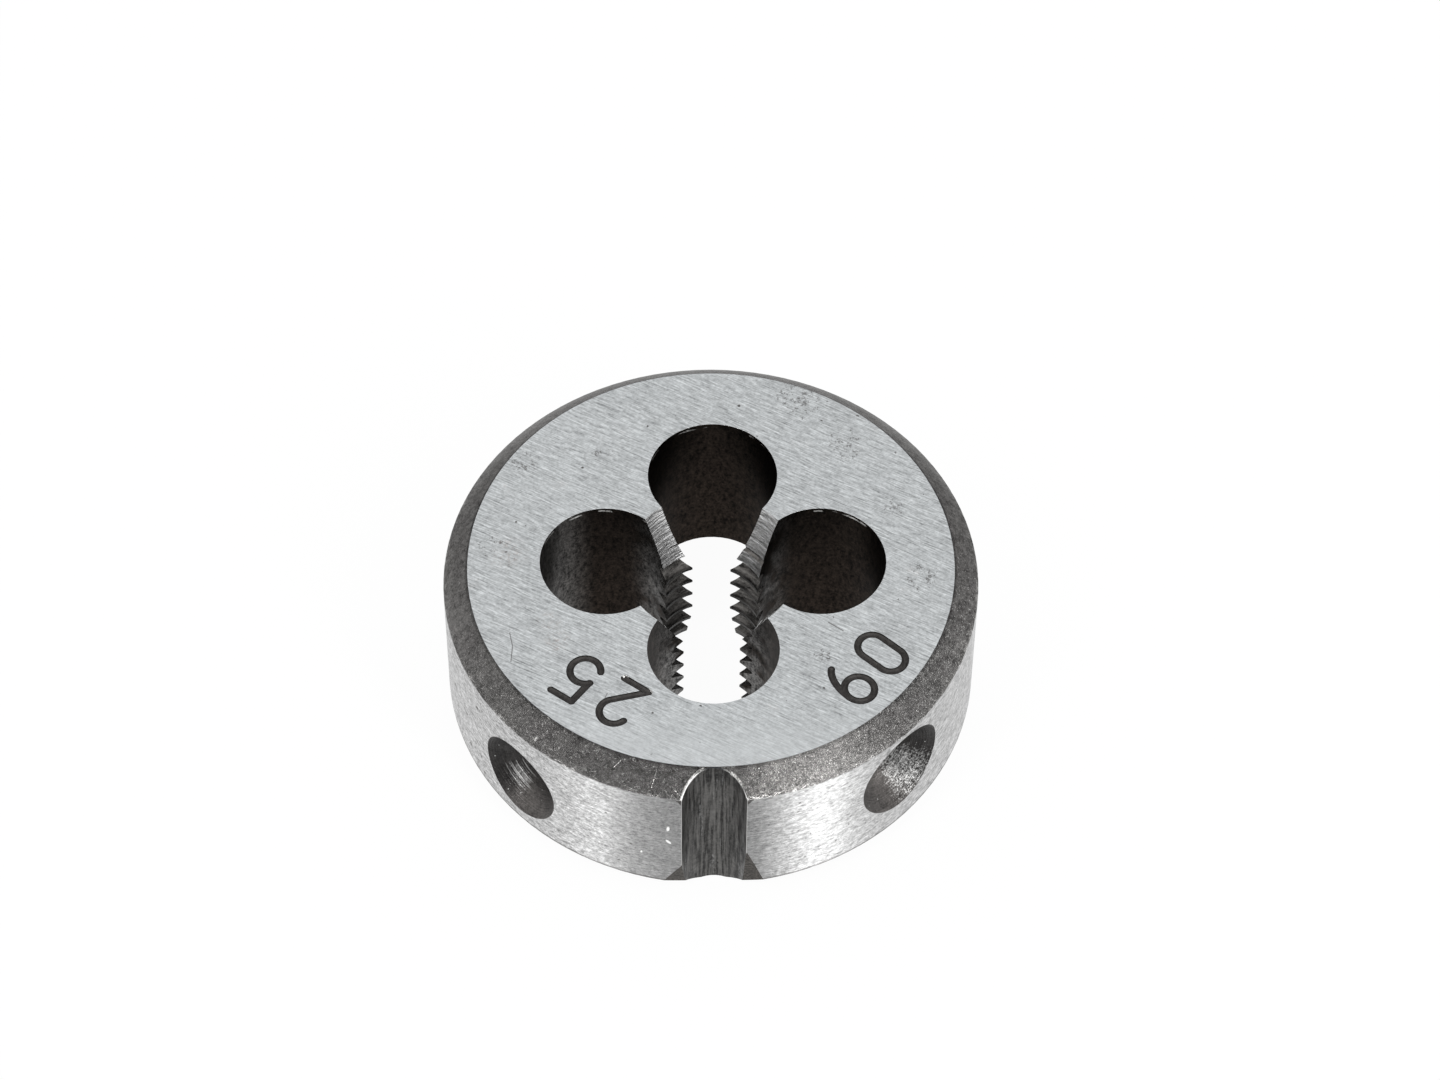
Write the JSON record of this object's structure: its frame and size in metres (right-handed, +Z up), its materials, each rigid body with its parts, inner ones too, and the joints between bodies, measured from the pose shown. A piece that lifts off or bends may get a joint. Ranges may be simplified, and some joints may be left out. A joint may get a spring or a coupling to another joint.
{
  "type": "threading die",
  "caption": "Round threading die: a thick hardened steel disc with a small threaded bore, chip holes round it, a groove and conical screw seats in its rim.",
  "frame": {"origin": "middle of the rim's axis, on the lower face that the die rests on", "axes": "+Z up along the bore to the marked face, where a rod enters; -Y to the adjusting groove in the rim"},
  "size_m": [0.025, 0.0249, 0.009],
  "materials": {
    "tool_steel": "ground faces, dark unground chamfers and holes"
  },
  "bodies": {
    "root": {"threading_die": "tool_steel"}
  },
  "joints": []
}
